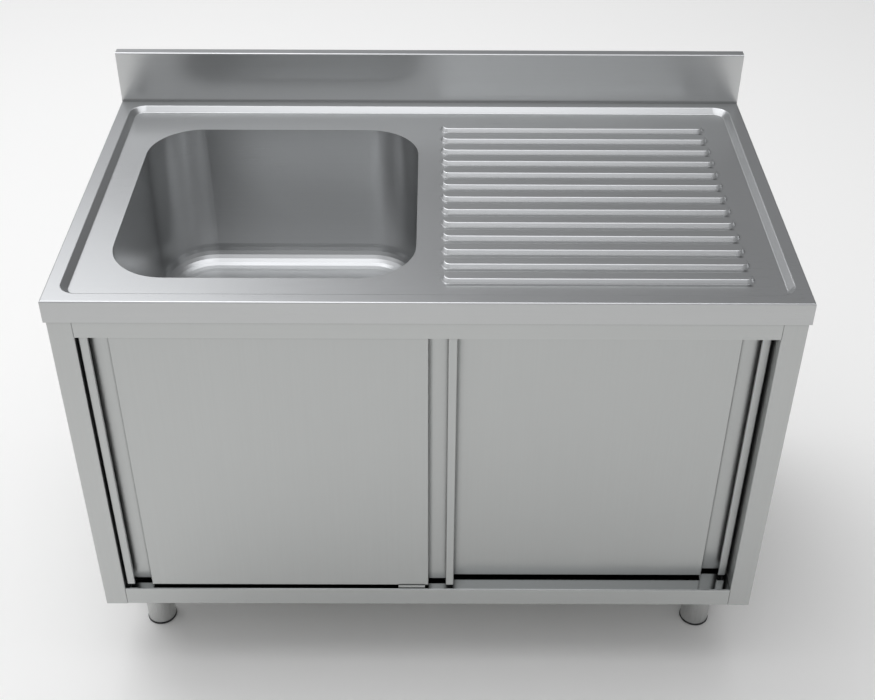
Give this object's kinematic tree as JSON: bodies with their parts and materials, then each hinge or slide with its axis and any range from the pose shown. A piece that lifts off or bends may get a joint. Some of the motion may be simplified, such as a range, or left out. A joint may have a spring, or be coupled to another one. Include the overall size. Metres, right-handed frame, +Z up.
{
  "type": "stainless steel sink unit",
  "caption": "Free-standing steel cabinet with sliding doors under a worktop with a deep bowl, a ribbed drainer and a rear upstand, on adjustable legs.",
  "frame": {"origin": "on the floor, under the middle of the unit's width and depth", "axes": "+X to the right along the length, +Y to the back where the upstand stands, +Z up"},
  "size_m": [1.2, 0.7, 0.95],
  "materials": {
    "worktop_steel": "satin, fine grain along the length",
    "bowl_steel": "satin, soft sheen",
    "cabinet_steel": "satin, fine upright grain",
    "door_steel": "satin, fine upright grain",
    "leg_steel": "satin tube",
    "inner_steel": "mill finish",
    "fitting_steel": "turned or zinc-bright",
    "track_aluminium": "extruded",
    "black_plastic": "moulded",
    "black_rubber": "matt",
    "roller_nylon": "moulded"
  },
  "bodies": {
    "cabinet": {"worktop": "worktop_steel", "drainer_stiffeners": "inner_steel", "bowl": "bowl_steel", "bowl_pad": "black_rubber", "waste_flange": "fitting_steel", "waste_gasket": "black_rubber", "waste_nut": "black_plastic", "left_side_panel": "cabinet_steel", "right_side_panel": "cabinet_steel", "header_rail": "cabinet_steel", "rear_top_rail": "inner_steel", "rear_panel": "cabinet_steel", "bottom_shelf": "cabinet_steel", "shelf_stiffener": "inner_steel", "foot_channels": "inner_steel", "leg_plates": "inner_steel", "leg_bolts": "fitting_steel", "leg_tubes": "leg_steel", "leg_plugs": "black_plastic", "door_track": "track_aluminium", "track_screws": "fitting_steel", "track_stops": "black_rubber", "door_guide": "cabinet_steel"},
    "front_door": {"front_door_skin": "door_steel", "front_door_back": "door_steel", "front_door_hangers": "fitting_steel", "front_door_bolts": "fitting_steel"},
    "front_roller_left": {"front_door_roller_left": "roller_nylon"},
    "front_roller_right": {"front_door_roller_right": "roller_nylon"},
    "rear_door": {"rear_door_skin": "door_steel", "rear_door_back": "door_steel", "rear_door_hangers": "fitting_steel", "rear_door_bolts": "fitting_steel"},
    "rear_roller_left": {"rear_door_roller_left": "roller_nylon"},
    "rear_roller_right": {"rear_door_roller_right": "roller_nylon"},
    "foot_front_left": {"foot_front_left": "black_plastic"},
    "foot_front_right": {"foot_front_right": "black_plastic"},
    "foot_rear_left": {"foot_rear_left": "black_plastic"},
    "foot_rear_right": {"foot_rear_right": "black_plastic"},
    "basket": {"strainer_basket": "fitting_steel"}
  },
  "joints": [
    {"name": "front_door_slide", "type": "slide", "parent": "cabinet", "child": "front_door", "axis": [1, 0, 0], "range_m": [0, 0.505]},
    {"name": "rear_door_slide", "type": "slide", "parent": "cabinet", "child": "rear_door", "axis": [1, 0, 0], "range_m": [-0.505, 0]},
    {"name": "front_roller_left_turn", "type": "hinge", "parent": "front_door", "child": "front_roller_left", "pos_m": [-0.478, -0.3328, 0.8251], "axis": [0, 1, 0], "range_deg": [-10, 3225]},
    {"name": "front_roller_right_turn", "type": "hinge", "parent": "front_door", "child": "front_roller_right", "pos_m": [-0.027, -0.3328, 0.8251], "axis": [0, 1, 0], "range_deg": [-10, 3225]},
    {"name": "rear_roller_left_turn", "type": "hinge", "parent": "rear_door", "child": "rear_roller_left", "pos_m": [0.027, -0.3068, 0.8251], "axis": [0, 1, 0], "range_deg": [-3225, 10]},
    {"name": "rear_roller_right_turn", "type": "hinge", "parent": "rear_door", "child": "rear_roller_right", "pos_m": [0.478, -0.3068, 0.8251], "axis": [0, 1, 0], "range_deg": [-3225, 10]},
    {"name": "foot_front_left_screw", "type": "slide", "parent": "cabinet", "child": "foot_front_left", "axis": [0, 0, -1], "range_m": [0, 0.05]},
    {"name": "foot_front_right_screw", "type": "slide", "parent": "cabinet", "child": "foot_front_right", "axis": [0, 0, -1], "range_m": [0, 0.05]},
    {"name": "foot_rear_left_screw", "type": "slide", "parent": "cabinet", "child": "foot_rear_left", "axis": [0, 0, -1], "range_m": [0, 0.05]},
    {"name": "foot_rear_right_screw", "type": "slide", "parent": "cabinet", "child": "foot_rear_right", "axis": [0, 0, -1], "range_m": [0, 0.05]},
    {"name": "basket_lift", "type": "slide", "parent": "cabinet", "child": "basket", "axis": [0, 0, 1], "range_m": [0, 0.12]}
  ],
  "couplings": [
    {"joint": "front_roller_left_turn", "follows": "front_door_slide", "rad_per_m": 111.11},
    {"joint": "front_roller_right_turn", "follows": "front_door_slide", "rad_per_m": 111.11},
    {"joint": "rear_roller_left_turn", "follows": "rear_door_slide", "rad_per_m": 111.11},
    {"joint": "rear_roller_right_turn", "follows": "rear_door_slide", "rad_per_m": 111.11}
  ]
}
